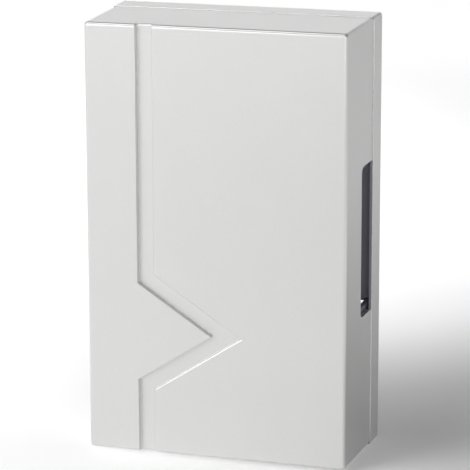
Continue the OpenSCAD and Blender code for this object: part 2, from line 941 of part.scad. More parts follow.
// A slotted screw whose head stands on a height and whose shank reaches down to another
module slotted_screw(x, up, tip, head, d, head_d) {
    difference() {
        union() {
            rod_out(x, up, tip, head + head_h / 2, d);
            rod_out(x, up, head, head + head_h, head_d);
        }
        translate([x, up, head + head_h])
            cube([driver_slot_w, head_d + over, 2 * driver_slot_h], center = true);
    }
}

module clamp_screw(side) {
    slotted_screw(side * pole_x, block_z, bar_to + seat, clamp_head_from, clamp_screw_d, clamp_head_d);
}

module clamp_screw_left() {
    color("lightgray")
        from_wall()
            clamp_screw(LEFT);
}

module clamp_screw_right() {
    color("lightgray")
        from_wall()
            clamp_screw(RIGHT);
}

module block_screw() {
    color("lightgray")
        from_wall()
            slotted_screw(0, block_z, floor_t + seat, block_head_from, fix_d, fix_head_d);
}

module solenoid_screws() {
    color("lightgray")
        from_wall()
            for (y = sides)
                slotted_screw(
                    0, y * ear_hole, frame_back - fix_bite, frame_back + frame_t + seat,
                    fix_d, fix_head_d
                );
}

// A coil lead on the given side
module coil_lead(side) {
    mirror([side < 0 ? 1 : 0, 0, 0])
        polyhedron(
            tube_points(lead_line, lead_d / 2, lead_sides, [1, 0, 0]),
            tube_faces(len(lead_line), lead_sides)
        );
}

module coil_lead_left() {
    color("steelblue")
        from_wall()
            coil_lead(LEFT);
}

module coil_lead_right() {
    color("firebrick")
        from_wall()
            coil_lead(RIGHT);
}

module cable_grommet() {
    color("black")
        from_wall()
            difference() {
                union() {
                    rod_out(
                        0, cable_z, cable_recess - seat - cable_flange_t, cable_recess - seat,
                        cable_flange_d
                    );
                    rod_out(
                        0, cable_z, cable_recess - seat - cable_flange_t,
                        cable_web_to + seat + cable_flange_t, cable_hole_d - 2 * seat
                    );
                    rod_out(
                        0, cable_z, cable_web_to + seat, cable_web_to + seat + cable_flange_t,
                        cable_flange_d
                    );
                }
                rod_out(0, cable_z, -over, cable_web_to + cable_flange_t + 2 * over, cable_bore_d);
            }
}

base_tray();
front_cover();
solenoid_frame();
coil_bobbin();
coil_winding();
coil_tape();
guide_tube();
plunger_core();
striker_tip_low();
striker_tip_high();
spring_collar();
return_spring();
tone_plate_low();
tone_plate_high();
plate_grommets();
peg_caps();
terminal_block();
contact_bar_left();
contact_bar_right();
clamp_cage_left();
clamp_cage_right();
clamp_screw_left();
clamp_screw_right();
block_screw();
solenoid_screws();
coil_lead_left();
coil_lead_right();
cable_grommet();
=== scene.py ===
"""Two-tone door chime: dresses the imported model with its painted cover, soft pieces, finishes and studio."""
import math

import bpy
import numpy as np
from bpy.props import FloatProperty, FloatVectorProperty, IntProperty, PointerProperty
from mathutils import Matrix, Vector


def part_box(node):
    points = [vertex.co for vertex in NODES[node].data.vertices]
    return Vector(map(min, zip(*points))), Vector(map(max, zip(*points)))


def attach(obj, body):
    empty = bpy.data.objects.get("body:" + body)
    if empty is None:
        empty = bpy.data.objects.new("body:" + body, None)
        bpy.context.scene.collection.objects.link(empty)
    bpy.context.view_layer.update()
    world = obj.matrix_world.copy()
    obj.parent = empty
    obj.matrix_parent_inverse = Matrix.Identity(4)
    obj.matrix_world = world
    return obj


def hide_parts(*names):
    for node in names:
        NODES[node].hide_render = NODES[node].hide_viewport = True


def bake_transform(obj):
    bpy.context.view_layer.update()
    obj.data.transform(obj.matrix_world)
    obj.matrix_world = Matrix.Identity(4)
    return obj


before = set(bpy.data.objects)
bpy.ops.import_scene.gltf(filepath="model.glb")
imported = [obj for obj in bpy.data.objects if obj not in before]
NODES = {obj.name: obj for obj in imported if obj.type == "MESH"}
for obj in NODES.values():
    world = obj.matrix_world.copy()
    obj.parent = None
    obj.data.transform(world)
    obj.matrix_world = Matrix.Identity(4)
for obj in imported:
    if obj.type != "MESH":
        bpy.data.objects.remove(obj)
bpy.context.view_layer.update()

bl_info = {
    "name": "Door chime",
    "version": (1, 0, 0),
    "blender": (4, 5, 0),
    "location": "3D View > Sidebar > Chime",
    "description": "Dresses the packed door chime with its cover, soft pieces, finishes and studio",
    "category": "Add Mesh",
}

TRAY_LOW, TRAY_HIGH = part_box("base_tray")
COVER_LOW, COVER_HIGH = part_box("front_cover")
LEFT, RIGHT = -1, 1

# Fineness of the surfaces
EDGE_STEPS = 12
LIP_STEPS = 8
CORNER_STEPS = 10
ROUND_STEPS = 5
WALL_ROWS = 5
CAP_STEPS = 4
TUBE_SIDES = 20
SPRING_SIDES = 12
SPRING_STEPS = 40
LEAD_STEPS = 24
HOOK_STEPS = 48
REVOLVE_STEPS = 64
COVE_STEPS = 16
BACKDROP_STEPS = 96
# Heights of the plain rows across the front
FRONT_ROWS = (0.080, 0.060, 0.045, 0.020, 0.005, -0.008, -0.024, -0.046, -0.054, -0.080)
# Distance of the rows that keep a flat face flat where it turns into an edge
SUPPORT = 0.0003
# Points nearer than this are one
WELD = 1e-7
SMOOTH_BELOW = math.radians(32)
QUARTER = math.pi / 2

# Share of its radius that a tube keeps at its very ends
TIP_SHARE = 0.02
# Roundness of a grommet's neck corners, as a share of its other edges
NECK_SHARE = 0.1
# Distance between the spring's closed turns, in wire diameters
CLOSED_PITCH = 1.02
# How metallic the silver paint is
PAINT_METAL = 0.58
# How far the paint's border wanders to either side
RAGGED = 0.00006
# Values that a noise pattern mostly keeps between
NOISE_RANGE = (0.3, 0.7)
# Diameter of the enamelled wire
WINDING_WIRE = 0.0002

# Radii of the floor's rings, start and radius of its cove, and height of the wall behind
FLOOR_RINGS = (0.0, 0.3, 1.0, 2.2)
COVE_START, COVE_R, WALL_TOP = 3.0, 0.8, 1.9
# Name, place, width and height, and power of each lamp; all face the middle of the object
LAMPS = (
    ("left_softbox", (-2.5, -2.6, 1.5), (2.0, 2.0), 52.5),
    ("front_softbox", (-1.15, -2.9, 0.95), (1.2, 1.2), 15),
    ("camera_softbox", (0.95, -2.75, 0.36), (1.4, 0.6), 24),
    ("overhead_softbox", (-0.55, -0.35, 1.6), (0.7, 0.7), 5),
    ("back_strip", (-0.75, 2.3, 0.75), (1.4, 0.6), 1.8),
)
# The grommets' lengths, flange diameters and thicknesses, neck diameters and bores
GROMMETS = (
    ("plate", 0.0056, 0.010, 0.0015, 0.007, 0.0041),
    ("cable", 0.0056, 0.015, 0.0015, 0.0109, 0.006),
)
# The floor's bright patches, painted pools of light in the floor's glow that the cover's sides and edges
# mirror: name, where, light that each adds, middle, how far that stays and where it ends
PATCHES = (
    ("left", "on the lamps' side", 0.33, (-0.36, 0.36), 0.25, 0.60),
    ("right", "on the other side", 0.65, (0.51, 0.0), 0.16, 0.36),
    ("back", "behind the object", 0.20, (-0.42, 1.30), 0.35, 0.85),
    ("near", "at the left foot", 0.12, (-0.14, -0.06), 0.06, 0.26),
    ("beside", "at the shadow's far end", 0.22, (-0.015, 0.26), 0.06, 0.20),
)
# Nearest and farthest that the camera sees
CAMERA_CLIP = (0.05, 30)


# Settings

def length(name, text, value):
    """A length in metres that a user may change."""
    return FloatProperty(name=name, description=text, default=value, unit="LENGTH", precision=5)


def place(name, text, value):
    """A point in metres that a user may change."""
    return FloatVectorProperty(name=name, description=text, default=value, unit="LENGTH", precision=5)


def colour(name, text, value):
    """A linear colour that a user may change."""
    return FloatVectorProperty(name=name, description=text, default=value, subtype="COLOR", min=0.0, max=1.0)


def degrees(name, text, value):
    """An angle that a user may change, given in degrees."""
    return FloatProperty(name=name, description=text, default=math.radians(value), subtype="ANGLE")


def share(name, text, value):
    """A share between none and all that a user may change."""
    return FloatProperty(name=name, description=text, default=value, subtype="FACTOR", min=0.0, max=1.0)


class HousingSizes(bpy.types.PropertyGroup):
    """Sizes of the cover and of the base's rim."""

    half_w: length("Half width", "From the middle to the base's side, at the wall", TRAY_HIGH.x)
    half_h: length("Half height", "From the middle to the base's top, at the wall", TRAY_HIGH.z)
    front: length("Front", "From the wall to the front face", -COVER_LOW.y)
    seam: length("Seam", "From the wall to the seam", -COVER_HIGH.y)
    draft: degrees("Draft", "Lean of the walls", 1)
    proud: length("Rim proud", "How far the rim stands proud of the cover", 0.0004)
    wall: length("Cover wall", "Thickness of the cover", 0.0022)
    edge_r: length("Edge radius", "Radius of the cover's outer edges", 0.0015)
    inner_r: length("Inner edge radius", "Radius of the edges inside the cover", 0.0008)
    cut_r: length("Cut edge radius", "Radius of the edges of the slots and of the seam", 0.0001)
    rim_r: length("Rim edge radius", "Radius of the rim's edges", 0.0005)
    paint_depth: length("Paint depth", "How far the paint reaches over the rim's edge", 0.0004)


class GrooveSizes(bpy.types.PropertyGroup):
    """Sizes of the groove across the front."""

    width: length("Width", "Width of the groove", 0.0073)
    depth: length("Depth", "Depth of the groove", 0.0024)
    x: length("Straight runs", "Middle of the straight runs, across", -0.0318)
    top: length("Upper turn", "Height where the middle line turns aside", -0.0165)
    low: length("Lower turn", "Height where the middle line comes back", -0.0645)
    tip_x: length("Tip across", "Tip of the chevron, across", 0.0048)
    tip_z: length("Tip height", "Tip of the chevron, height", -0.0405)
    left_lip_r: length("Left lip radius", "Radius of the groove's left lip", 0.0003)
    right_lip_r: length("Right lip radius", "Radius of its right lip", 0.0007)
    floor_r: length("Floor radius", "Radius along the groove's floor", 0.00015)
    end_r: length("End radius", "Radius of the cover's edge where the groove runs out", 0.0008)
    wall_lean: length("Wall lean", "How far the groove narrows on the way down", 0.0001)


class SlotSizes(bpy.types.PropertyGroup):
    """Sizes of the sound slots in the cover's sides."""

    half_l: length("Half length", "Half the length of a slot, up the wall", 0.0338)
    front: length("Front edge", "From the wall to a slot's front edge", 0.0292)
    corner_r: length("Corner radius", "Radius of a slot's front corners", 0.003)


class SpringSizes(bpy.types.PropertyGroup):
    """Sizes of the return spring."""

    start: length("Start", "Where the spring stands on the frame, across", -0.018)
    end: length("End", "Where it stands on the collar, across", -0.0345)
    axis_out: length("Axis", "From the wall to the striker's axis", 0.027)
    mean_d: length("Mean diameter", "Mean diameter of the coil", 0.011)
    wire_d: length("Wire", "Diameter of the wire", 0.0007)
    turns: IntProperty(name="Turns", description="Number of turns", default=7, min=4)
    closed: IntProperty(name="Closed turns", description="Turns that lie closed at each end", default=1)
    gap: length("Seat gap", "Clearance at both ends", 0.00005)


class LeadSizes(bpy.types.PropertyGroup):
    """Route and sizes of the two coil leads; the right one is given, the left one is its mirror."""

    wire_d: length("Wire", "Diameter over the insulation", 0.0012)
    coil: place("Coil", "Where the lead leaves the tape: across, up, out", (0.0072, -0.0118, 0.027))
    guide_high: place("Upper guide, above", "Route: across, up, out", (0.0154, -0.043, 0.0027))
    guide_low: place("Upper guide, below", "Route: across, up, out", (0.0154, -0.051, 0.0027))
    block_high: place("Beside the block, above", "Route: across, up, out", (0.020, -0.0663, 0.0027))
    block_low: place("Beside the block, below", "Route: across, up, out", (0.020, -0.0777, 0.0027))
    tail: place("Tail", "Where it meets the contact bar's tail", (0.008, -0.08175, 0.0146))
    hook: length("Hook", "How far the lead hangs below the tail", 0.010)
    bare: share("Bare end", "Share of the lead that is bare and tinned", 0.04)


class GrommetSizes(bpy.types.PropertyGroup):
    """Sizes of the rubber pieces."""

    plate_x: length("Plate grommets", "Where their inner flanges start, across", 0.04345)
    high_z: length("High plate's pegs", "Height of the high plate's pegs", 0.0298080)
    low_z: length("Low plate's pegs", "Height of the low plate's pegs", 0.0333960)
    cable_z: length("Cable entry", "Height of the cable entry", -0.047)
    cable_from: length("Cable grommet", "Where its rear flange starts", 0.0008)
    edge_r: length("Edge radius", "Radius of all their edges", 0.0005)


def grommet_settings(kind, over_all, flange_d, flange_t, neck_d, bore_d):
    """The settings of one kind of grommet."""
    word = kind.capitalize()
    return {
        f"{kind}_l": length(f"{word} grommet length", "Over both flanges", over_all),
        f"{kind}_flange_d": length(f"{word} flange", "Diameter of the flanges", flange_d),
        f"{kind}_flange_t": length(f"{word} flange thickness", "Thickness of the flanges", flange_t),
        f"{kind}_neck_d": length(f"{word} neck", "Diameter of the neck", neck_d),
        f"{kind}_bore_d": length(f"{word} bore", "Diameter of the bore", bore_d),
    }


for row in GROMMETS:
    GrommetSizes.__annotations__.update(grommet_settings(*row))


class Finishes(bpy.types.PropertyGroup):
    """Colours of the finishes."""

    paint: colour("Silver paint", "Paint of the housing", (0.74, 0.74, 0.735))
    plastic: colour("Charcoal plastic", "Moulded plastic under the paint", (0.310, 0.300, 0.350))
    zinc: colour("Zinc plate", "Plating of frame, cages and screws", (0.60, 0.61, 0.62))
    bar_steel: colour("Rolled steel", "Bare steel of the plates", (0.52, 0.53, 0.55))
    core_steel: colour("Turned steel", "Bare steel of the core", (0.44, 0.44, 0.45))
    spring_steel: colour("Spring wire", "Drawn wire of the spring", (0.58, 0.58, 0.57))
    brass: colour("Brass", "Guide tube and contact bars", (0.72, 0.50, 0.20))
    copper: colour("Enamelled copper", "Winding", (0.60, 0.22, 0.09))
    tape: colour("Yellow tape", "Film tape round the coil", (0.72, 0.47, 0.04))
    nylon: colour("Natural nylon", "Bobbin and striker tips", (0.78, 0.75, 0.66))
    black_nylon: colour("Black nylon", "Collar and peg caps", (0.022, 0.022, 0.023))
    terminal: colour("Grey polyamide", "Terminal block", (0.46, 0.47, 0.46))
    silicone: colour("Pale rubber", "Plate grommets", (0.62, 0.61, 0.57))
    rubber: colour("Black rubber", "Cable grommet", (0.020, 0.020, 0.020))
    blue: colour("Blue wire", "Left lead", (0.03, 0.12, 0.42))
    red: colour("Red wire", "Right lead", (0.50, 0.03, 0.025))
    tin: colour("Tinned wire", "Bare ends of the leads", (0.66, 0.66, 0.64))


class StageSettings(bpy.types.PropertyGroup):
    """Floor, lamps and camera."""

    floor: colour("Floor", "Floor and backdrop", (0.90, 0.90, 0.90))
    # Painted shade on the floor: its glow is weaker round the shade's middle and in the dim patch, and the
    # cover's sides mirror that
    lift: share("Lift in the shade", "Light that the floor adds for the eye", 0.12)
    lift_far: share("Lift outside it", "Light that it adds away from the object, on top of that", 0.42)
    painted_shade_at: place("Shade", "Middle of the shade on the floor", (0.14, 0.10, TRAY_LOW.z))
    painted_shade_from: length("Shade's core", "How far the deepest shade reaches", 0.05)
    painted_shade_to: length("Shade's edge", "Where the shade ends", 0.50)
    painted_dim_at: place("Dim patch", "Middle of the floor's dim patch before the camera", (0.28, -0.72, TRAY_LOW.z))
    painted_dim_from: length("Dim patch's core", "How far it stays dim", 0.2)
    painted_dim_to: length("Dim patch's edge", "Where it ends", 0.60)
    room: share("Room", "Strength of the room's own light", 0.05)
    azimuth: degrees("Azimuth", "Turn of the camera to the right", 17.25)
    elevation: degrees("Elevation", "Camera's angle above the level", 13.83)
    roll: degrees("Roll", "Turn of the picture", -0.15)
    distance: length("Distance", "From the camera to what it looks at", 1.1634)
    target: place("Target", "What the camera looks at", (-0.001134, -0.0199, -0.00242))
    lens: FloatProperty(name="Lens", description="Focal length", default=200.86, unit="CAMERA")


def patch_settings(name, where, lift, middle, start, end):
    """The settings of one bright patch of the floor."""
    return {
        f"{name}_lift": share(f"Lift, {name}", f"Light that the floor adds {where}", lift),
        f"{name}_at": place(f"Patch, {name}", f"Middle of the patch {where}", (*middle, TRAY_LOW.z)),
        f"{name}_from": length(f"Core, {name}", f"How far the patch {where} stays bright", start),
        f"{name}_to": length(f"Edge, {name}", f"Where the patch {where} ends", end),
    }


for row in PATCHES:
    StageSettings.__annotations__.update(patch_settings(*row))


class ChimeSettings(bpy.types.PropertyGroup):
    """All that a user may change on the chime."""

    housing: PointerProperty(type=HousingSizes)
    groove: PointerProperty(type=GrooveSizes)
    slot: PointerProperty(type=SlotSizes)
    spring: PointerProperty(type=SpringSizes)
    leads: PointerProperty(type=LeadSizes)
    grommets: PointerProperty(type=GrommetSizes)
    finishes: PointerProperty(type=Finishes)
    stage: PointerProperty(type=StageSettings)


# Surfaces

def unit(v):
    """Vectors brought to length one."""
    return v / np.linalg.norm(v, axis=-1, keepdims=True)


def from_wall(across, up, out):
    """Points given across, up and out from the wall, in the frame: out runs towards -y."""
    return np.stack(np.broadcast_arrays(across, -np.asarray(out), up), axis=-1).reshape(-1, 3)


def grid_quads(index, closed=False):
    """Quads between neighbours in a grid of point numbers. A closed grid's last column meets its first."""
    if closed:
        index = np.concatenate([index, index[:, :1]], axis=1)
    corners = index[:-1, :-1], index[:-1, 1:], index[1:, 1:], index[1:, :-1]
    return np.stack(corners, axis=-1).reshape(-1, 4)


def quads_and_triangles(faces):
    """Quads, and the triangles that are left where two corners of a quad have met."""
    met = faces == np.roll(faces, -1, axis=1)
    count = met.sum(axis=1)
    thin = count == 1
    return faces[count == 0], faces[thin][~met[thin]].reshape(-1, 3)


def new_piece(name, points, faces, materials, kinds=None, body=None):
    """A mesh object at the origin with smooth faces, sharp where they turn by more than a fixed angle."""
    mesh = bpy.data.meshes.new(name)
    mesh.from_pydata(points.tolist(), [], faces)
    for material in materials:
        mesh.materials.append(material)
    if kinds is not None:
        mesh.polygons.foreach_set("material_index", kinds)
    mesh.polygons.foreach_set("use_smooth", np.ones(len(mesh.polygons), bool))
    mesh.update()
    mesh.set_sharp_from_angle(angle=SMOOTH_BELOW)
    piece = bpy.data.objects.new(name, mesh)
    bpy.context.scene.collection.objects.link(piece)
    if body is not None:
        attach(piece, body)
    return piece


def bezier(a, b, c, d, t):
    """Cubic curve from a to d, pulled towards b and c on the way."""
    t = t[:, None]
    return (1 - t) ** 3 * a + 3 * (1 - t) ** 2 * t * b + 3 * (1 - t) * t**2 * c + t**3 * d


def tube(path, radius, reference, sides=TUBE_SIDES):
    """A round tube along a path: each ring lies in the plane square to the path, and starts at the side that
    the reference vectors point to. Round caps close both ends: rings shrink to a point on half a circle.
    Gives the points, the faces and the number of the ring that each face starts on."""
    along = unit(np.gradient(path, axis=0))
    first = unit(reference - (reference * along).sum(1, keepdims=True) * along)
    second = np.cross(along, first)
    cap = np.linspace(QUARTER, 0, CAP_STEPS + 1)[:-1]
    head = path[0] - np.outer(radius * np.sin(cap), along[0])
    foot = path[-1] + np.outer(radius * np.sin(cap[::-1]), along[-1])
    grow = np.concatenate([np.cos(cap), np.ones(len(path)), np.cos(cap[::-1])]) * radius
    grow[[0, -1]] = radius * TIP_SHARE
    middle = np.concatenate([head, path, foot])
    first, second = (np.pad(side, ((CAP_STEPS, CAP_STEPS), (0, 0)), mode="edge") for side in (first, second))
    angle = np.arange(sides) * 2 * math.pi / sides
    ring = first[:, None] * np.cos(angle)[:, None] + second[:, None] * np.sin(angle)[:, None]
    points = (middle[:, None] + grow[:, None, None] * ring).reshape(-1, 3)
    index = np.arange(len(points)).reshape(-1, sides)
    quads = grid_quads(index, closed=True)
    faces = quads.tolist() + [index[0, ::-1].tolist(), index[-1].tolist()]
    return points, faces, np.append(quads[:, 0] // sides, [0, len(middle) - 1])


def revolve(radius, height, steps):
    """An outline of radii and heights turned round the upright axis: each point goes round a circle. Gives a
    grid of points and the angle of each of its columns."""
    angle = np.arange(steps) * 2 * math.pi / steps
    circles = radius[:, None] * np.cos(angle), radius[:, None] * np.sin(angle)
    return np.stack(np.broadcast_arrays(*circles, height[:, None]), axis=-1), angle


def rounded_outline(corners, radii):
    """A closed outline with each corner cut back by its radius along both edges and filled with the curve
    that leaves along one edge and arrives along the other."""
    before = unit(np.roll(corners, 1, axis=0) - corners)
    after = unit(np.roll(corners, -1, axis=0) - corners)
    t = np.linspace(0, 1, ROUND_STEPS + 1)[None, :, None]
    a = (corners + radii[:, None] * before)[:, None]
    c = (corners + radii[:, None] * after)[:, None]
    b = corners[:, None]
    return ((1 - t) ** 2 * a + 2 * t * (1 - t) * b + t**2 * c).reshape(-1, 2)


def grommet(sizes, kind):
    """A grommet along z from 0: a bore, two rounded flanges and the neck between, turned round its axis."""
    bore, neck, flange, flange_t, over_all = (
        getattr(sizes, f"{kind}_{part}") for part in ("bore_d", "neck_d", "flange_d", "flange_t", "l")
    )
    corners = np.array([
        (bore / 2, 0), (flange / 2, 0), (flange / 2, flange_t), (neck / 2, flange_t),
        (neck / 2, over_all - flange_t), (flange / 2, over_all - flange_t), (flange / 2, over_all),
        (bore / 2, over_all),
    ])
    radii = np.array([1, 1, 1, NECK_SHARE, NECK_SHARE, 1, 1, 1]) * sizes.edge_r
    outline = rounded_outline(corners, radii)
    points, _ = revolve(outline[:, 0], outline[:, 1], REVOLVE_STEPS)
    index = np.arange(points[..., 0].size).reshape(points.shape[:2])
    return points.reshape(-1, 3), grid_quads(np.concatenate([index, index[:1]]), closed=True)


def groove_profile(half, lips, floors, depth, lean):
    """Across a groove, from the left flat to the right one: a flat, a round lip, a leaning wall, a round
    corner and the floor, then the same mirrored, with the right side's radii. Gives the distance from the
    middle and the depth."""
    t = np.linspace(0, QUARTER, LIP_STEPS + 1)
    foot = half - lean
    (left, left_down), (right, right_down) = [
        (
            np.concatenate([
                [foot - floor_r - SUPPORT], foot - floor_r + floor_r * np.sin(t),
                half + lip_r - lip_r * np.cos(t), [half + lip_r + SUPPORT],
            ]),
            np.concatenate([
                [depth], depth - floor_r + floor_r * np.cos(t), lip_r - lip_r * np.sin(t), [0.0],
            ]),
        )
        for lip_r, floor_r in zip(lips, floors)
    ]
    return np.concatenate([-left[::-1], right]), np.concatenate([left_down[::-1], right_down])


def groove_line(groove, end, up):
    """The groove's middle line at given heights, straight between its turns, and the vector along which its
    edges are set off: the mitre of the two runs that meet at a turn, and a straight blend in between."""
    turns = np.array([
        (groove.x, end), (groove.x, groove.top), (groove.tip_x, groove.tip_z), (groove.x, groove.low),
        (groove.x, -end),
    ])
    run = unit(np.diff(turns, axis=0))
    side = np.stack([-run[:, 1], run[:, 0]], axis=1)
    before, after = np.concatenate([side[:1], side]), np.concatenate([side, side[-1:]])
    mitre = (before + after) / (1 + (before * after).sum(1, keepdims=True))
    return [np.interp(-up, -turns[:, 1], line) for line in (turns[:, 0], mitre[:, 0], mitre[:, 1])]


def front_heights(groove, slot):
    """Heights of the rows across the front: the groove's turns with a row close to each side, the ends of the
    slots with rows round their corners, and a few rows between."""
    turns = np.array([groove.top, groove.tip_z, groove.low])
    corner = slot.half_l - slot.corner_r * (1 - np.sin(np.linspace(0, QUARTER, CORNER_STEPS + 1)))
    heights = np.concatenate([turns, turns - SUPPORT / 2, turns + SUPPORT / 2, corner, -corner, FRONT_ROWS])
    return np.sort(heights)[::-1]


def cover_skin(housing, groove, slot, inset, front, edge_r, half, lips, floors, end_r):
    """One skin of the cover. The front is a grid of rows and columns: columns follow the groove's profile,
    set off from its middle line, and end at the sides. From the front's border the skin turns through a
    quarter circle and goes on down the leaning walls to the slots and to the seam. Points are (across, up,
    out)."""
    lean = math.tan(housing.draft)
    v, depth = groove_profile(half, lips, floors, groove.depth, groove.wall_lean)
    v, depth = np.pad(v, 2), np.pad(depth, 2)
    radius = edge_r + (end_r - edge_r) * depth / groove.depth
    turn_out = front - depth - radius
    top = housing.half_h - inset - turn_out * lean - radius
    side = housing.half_w - inset - (front - edge_r) * lean - edge_r

    # Front
    heights = front_heights(groove, slot)
    line, mitre_x, mitre_z = (a[:, None] for a in groove_line(groove, housing.half_h, heights))
    run_out = np.stack([top, top - SUPPORT])
    straight = np.tile(groove.x + v, (2, 1))
    across = np.concatenate([straight, line + v * mitre_x, straight])
    up = np.concatenate([run_out, heights[:, None] + v * mitre_z, -run_out[::-1]])
    across[:, :2] = -side, SUPPORT - side
    across[:, -2:] = side - SUPPORT, side
    rows, columns = across.shape
    patch = np.arange(rows * columns).reshape(rows, columns)
    points = [np.stack([across, up, np.broadcast_to(front - depth, across.shape)], -1).reshape(-1, 3)]
    faces = [grid_quads(patch)[:, ::-1]]

    # Border of the front, clockwise from its top left, with the direction in which the wall lies
    turn = np.linspace(0, QUARTER, CORNER_STEPS + 1)[1:-1]
    sides = (patch[0], patch[:, -1], patch[-1, ::-1], patch[::-1, 0])
    border = np.concatenate([np.append(s, np.repeat(s[-1], len(turn))) for s in sides])
    angle = np.concatenate([
        np.append(np.full(len(s), (1 - k) * QUARTER), (1 - k) * QUARTER - turn) for k, s in enumerate(sides)
    ])
    start = points[0][border]
    radius = np.tile(radius, rows)[border]
    turn_out = np.tile(turn_out, rows)[border]
    normal = np.stack([np.cos(angle), np.sin(angle)], axis=1)
    slant = normal / np.abs(normal).max(axis=1, keepdims=True)
    on_side = np.abs(normal[:, 1]) < WELD
    high = np.abs(start[:, 1])

    # Edge, and walls down to the slots
    bend = np.linspace(0, QUARTER, EDGE_STEPS + 1)[:, None]
    edge_at = start[:, :2] + normal * (radius * np.sin(bend))[..., None]
    edge_out = turn_out + radius * np.cos(bend)
    corner_out = slot.front - slot.corner_r
    reach = np.clip(high - slot.half_l + slot.corner_r, 0, slot.corner_r)
    arch = corner_out + np.sqrt(slot.corner_r**2 - reach**2)
    foot = np.where(on_side & (high < slot.half_l + WELD), arch, corner_out)
    t = np.linspace(0, 1, WALL_ROWS)[:, None]
    outs = (1 - t) * (turn_out - SUPPORT) + t * foot

    def wall_at(out):
        """Across and up where the leaning wall is at a distance out."""
        return start[:, :2] + normal * radius[:, None] + slant * ((turn_out - out) * lean)[..., None]

    ring = np.concatenate([
        np.concatenate([edge_at, edge_out[..., None]], -1),
        np.concatenate([wall_at(outs), outs[..., None]], -1),
    ])
    index = rows * columns + np.arange(ring.shape[0] * ring.shape[1]).reshape(ring.shape[:2])
    points.append(ring.reshape(-1, 3))
    faces.append(grid_quads(index, closed=True))

    # Walls beside the slots, down to the seam
    outs = (1 - t) * corner_out + t * housing.seam + 0 * angle
    low = np.concatenate([wall_at(outs), outs[..., None]], -1)
    index = index.max() + 1 + np.arange(low.shape[0] * low.shape[1]).reshape(low.shape[:2])
    beside = ~(on_side & (high < slot.half_l - WELD))
    kept = np.tile(beside & np.roll(beside, -1), WALL_ROWS - 1)
    points.append(low.reshape(-1, 3))
    faces.append(grid_quads(index, closed=True)[kept])
    return np.concatenate(points), np.concatenate(faces)


def cover_shell(housing, groove, slot):
    """The cover as a closed shell: an outer and an inner skin with the same grid, joined along their borders.
    Gives points, faces, a number for each face (0 painted, 1 bare) and the pairs of points along the cuts."""
    lips, floors = (groove.left_lip_r, groove.right_lip_r), (groove.floor_r, groove.floor_r)
    outer, faces = cover_skin(
        housing, groove, slot, housing.proud, housing.front, housing.edge_r, groove.width / 2,
        lips, floors, groove.end_r,
    )
    inner, _ = cover_skin(
        housing, groove, slot, housing.proud + housing.wall, housing.front - housing.wall, housing.inner_r,
        groove.width / 2 + housing.wall, floors, lips, housing.inner_r,
    )
    _, first, where = np.unique(
        np.round(outer / WELD).astype(np.int64), axis=0, return_index=True, return_inverse=True
    )
    quads, triangles = quads_and_triangles(where.reshape(-1)[faces])
    used, packed = np.unique(np.concatenate([quads.ravel(), triangles.ravel()]), return_inverse=True)
    quads, triangles = packed[: quads.size].reshape(-1, 4), packed[quads.size :].reshape(-1, 3)
    first = first[used]
    count = len(first)
    edges = np.concatenate([
        np.stack([f, np.roll(f, -1, axis=1)], -1).reshape(-1, 2) for f in (quads, triangles)
    ])
    key, back = edges @ [count, 1], edges @ [1, count]
    cut = edges[~np.isin(key, back)]
    bridge = np.stack([cut[:, 1], cut[:, 0], cut[:, 0] + count, cut[:, 1] + count], axis=1)
    joined = [quads, triangles, bridge, quads[:, ::-1] + count, triangles[:, ::-1] + count]
    kinds = np.repeat([0, 0, 0, 1, 1], [len(f) for f in joined])
    points = np.concatenate([outer[first], inner[first]])
    return (
        from_wall(points[:, 0], points[:, 1], points[:, 2]),
        [face for part in joined for face in part.tolist()],
        kinds,
        np.concatenate([cut, cut + count]),
    )


# Finishes

def add(tree, kind, inputs=None, **settings):
    """A shader node of a kind, such as Math, with its settings and inputs. An input that is another node's
    output is linked."""
    made = tree.nodes.new("ShaderNode" + kind)
    for name, value in settings.items():
        setattr(made, name, value)
    for name, value in (inputs or {}).items():
        if isinstance(value, bpy.types.NodeSocket):
            tree.links.new(value, made.inputs[name])
        else:
            made.inputs[name].default_value = value
    return made


def new_material(name):
    """A material without nodes, its tree and the object's own coordinates."""
    material = bpy.data.materials.new(name)
    material.use_nodes = True
    tree = material.node_tree
    tree.nodes.clear()
    return material, tree, add(tree, "TexCoord").outputs["Object"]


def shade_with(tree, tone, rough, relief, metallic=0.0):
    """A finish's shader, with its colour, its roughness, its relief and how metallic it is."""
    inputs = {"Base Color": tone, "Roughness": rough, "Normal": relief, "Metallic": metallic}
    shader = add(tree, "BsdfPrincipled", inputs)
    add(tree, "OutputMaterial", {"Surface": shader.outputs["BSDF"]})


def noise(tree, where, scale, detail=3.0, roughness=0.55):
    """Noise over the object's coordinates; the scale is in turns per metre, and may differ by axis."""
    mapping = add(tree, "Mapping", {"Vector": where, "Scale": np.broadcast_to(scale, 3).tolist()})
    return add(
        tree, "TexNoise",
        {"Vector": mapping.outputs["Vector"], "Scale": 1.0, "Detail": detail, "Roughness": roughness},
    ).outputs["Fac"]


def maths(tree, operation, *values, **settings):
    """The result of an operation on numbers and other nodes' outputs."""
    return add(tree, "Math", dict(enumerate(values)), operation=operation, **settings).outputs[0]


def spread(tree, value, low, high):
    """A noise pattern's values, spread from low to high."""
    start, end = NOISE_RANGE
    return add(
        tree, "MapRange",
        {"Value": value, "From Min": start, "From Max": end, "To Min": low, "To Max": high},
    ).outputs["Result"]


def shades(tree, value, base, low, high, reach=NOISE_RANGE):
    """A colour between a darker and a lighter shade of a base, by a pattern's value."""
    ramp = add(tree, "ValToRGB", {"Fac": value})
    for stop, position, factor in zip(ramp.color_ramp.elements, reach, (low, high)):
        stop.position = position
        stop.color = (*np.clip(np.array(base) * factor, 0, 1).tolist(), 1)
    return ramp.outputs["Color"]


def bump(tree, height, strength, distance, under=None):
    """Relief from a pattern's value, laid over another relief where one is given."""
    inputs = {"Height": height, "Strength": strength, "Distance": distance}
    if under is not None:
        inputs["Normal"] = under
    return add(tree, "Bump", inputs).outputs["Normal"]


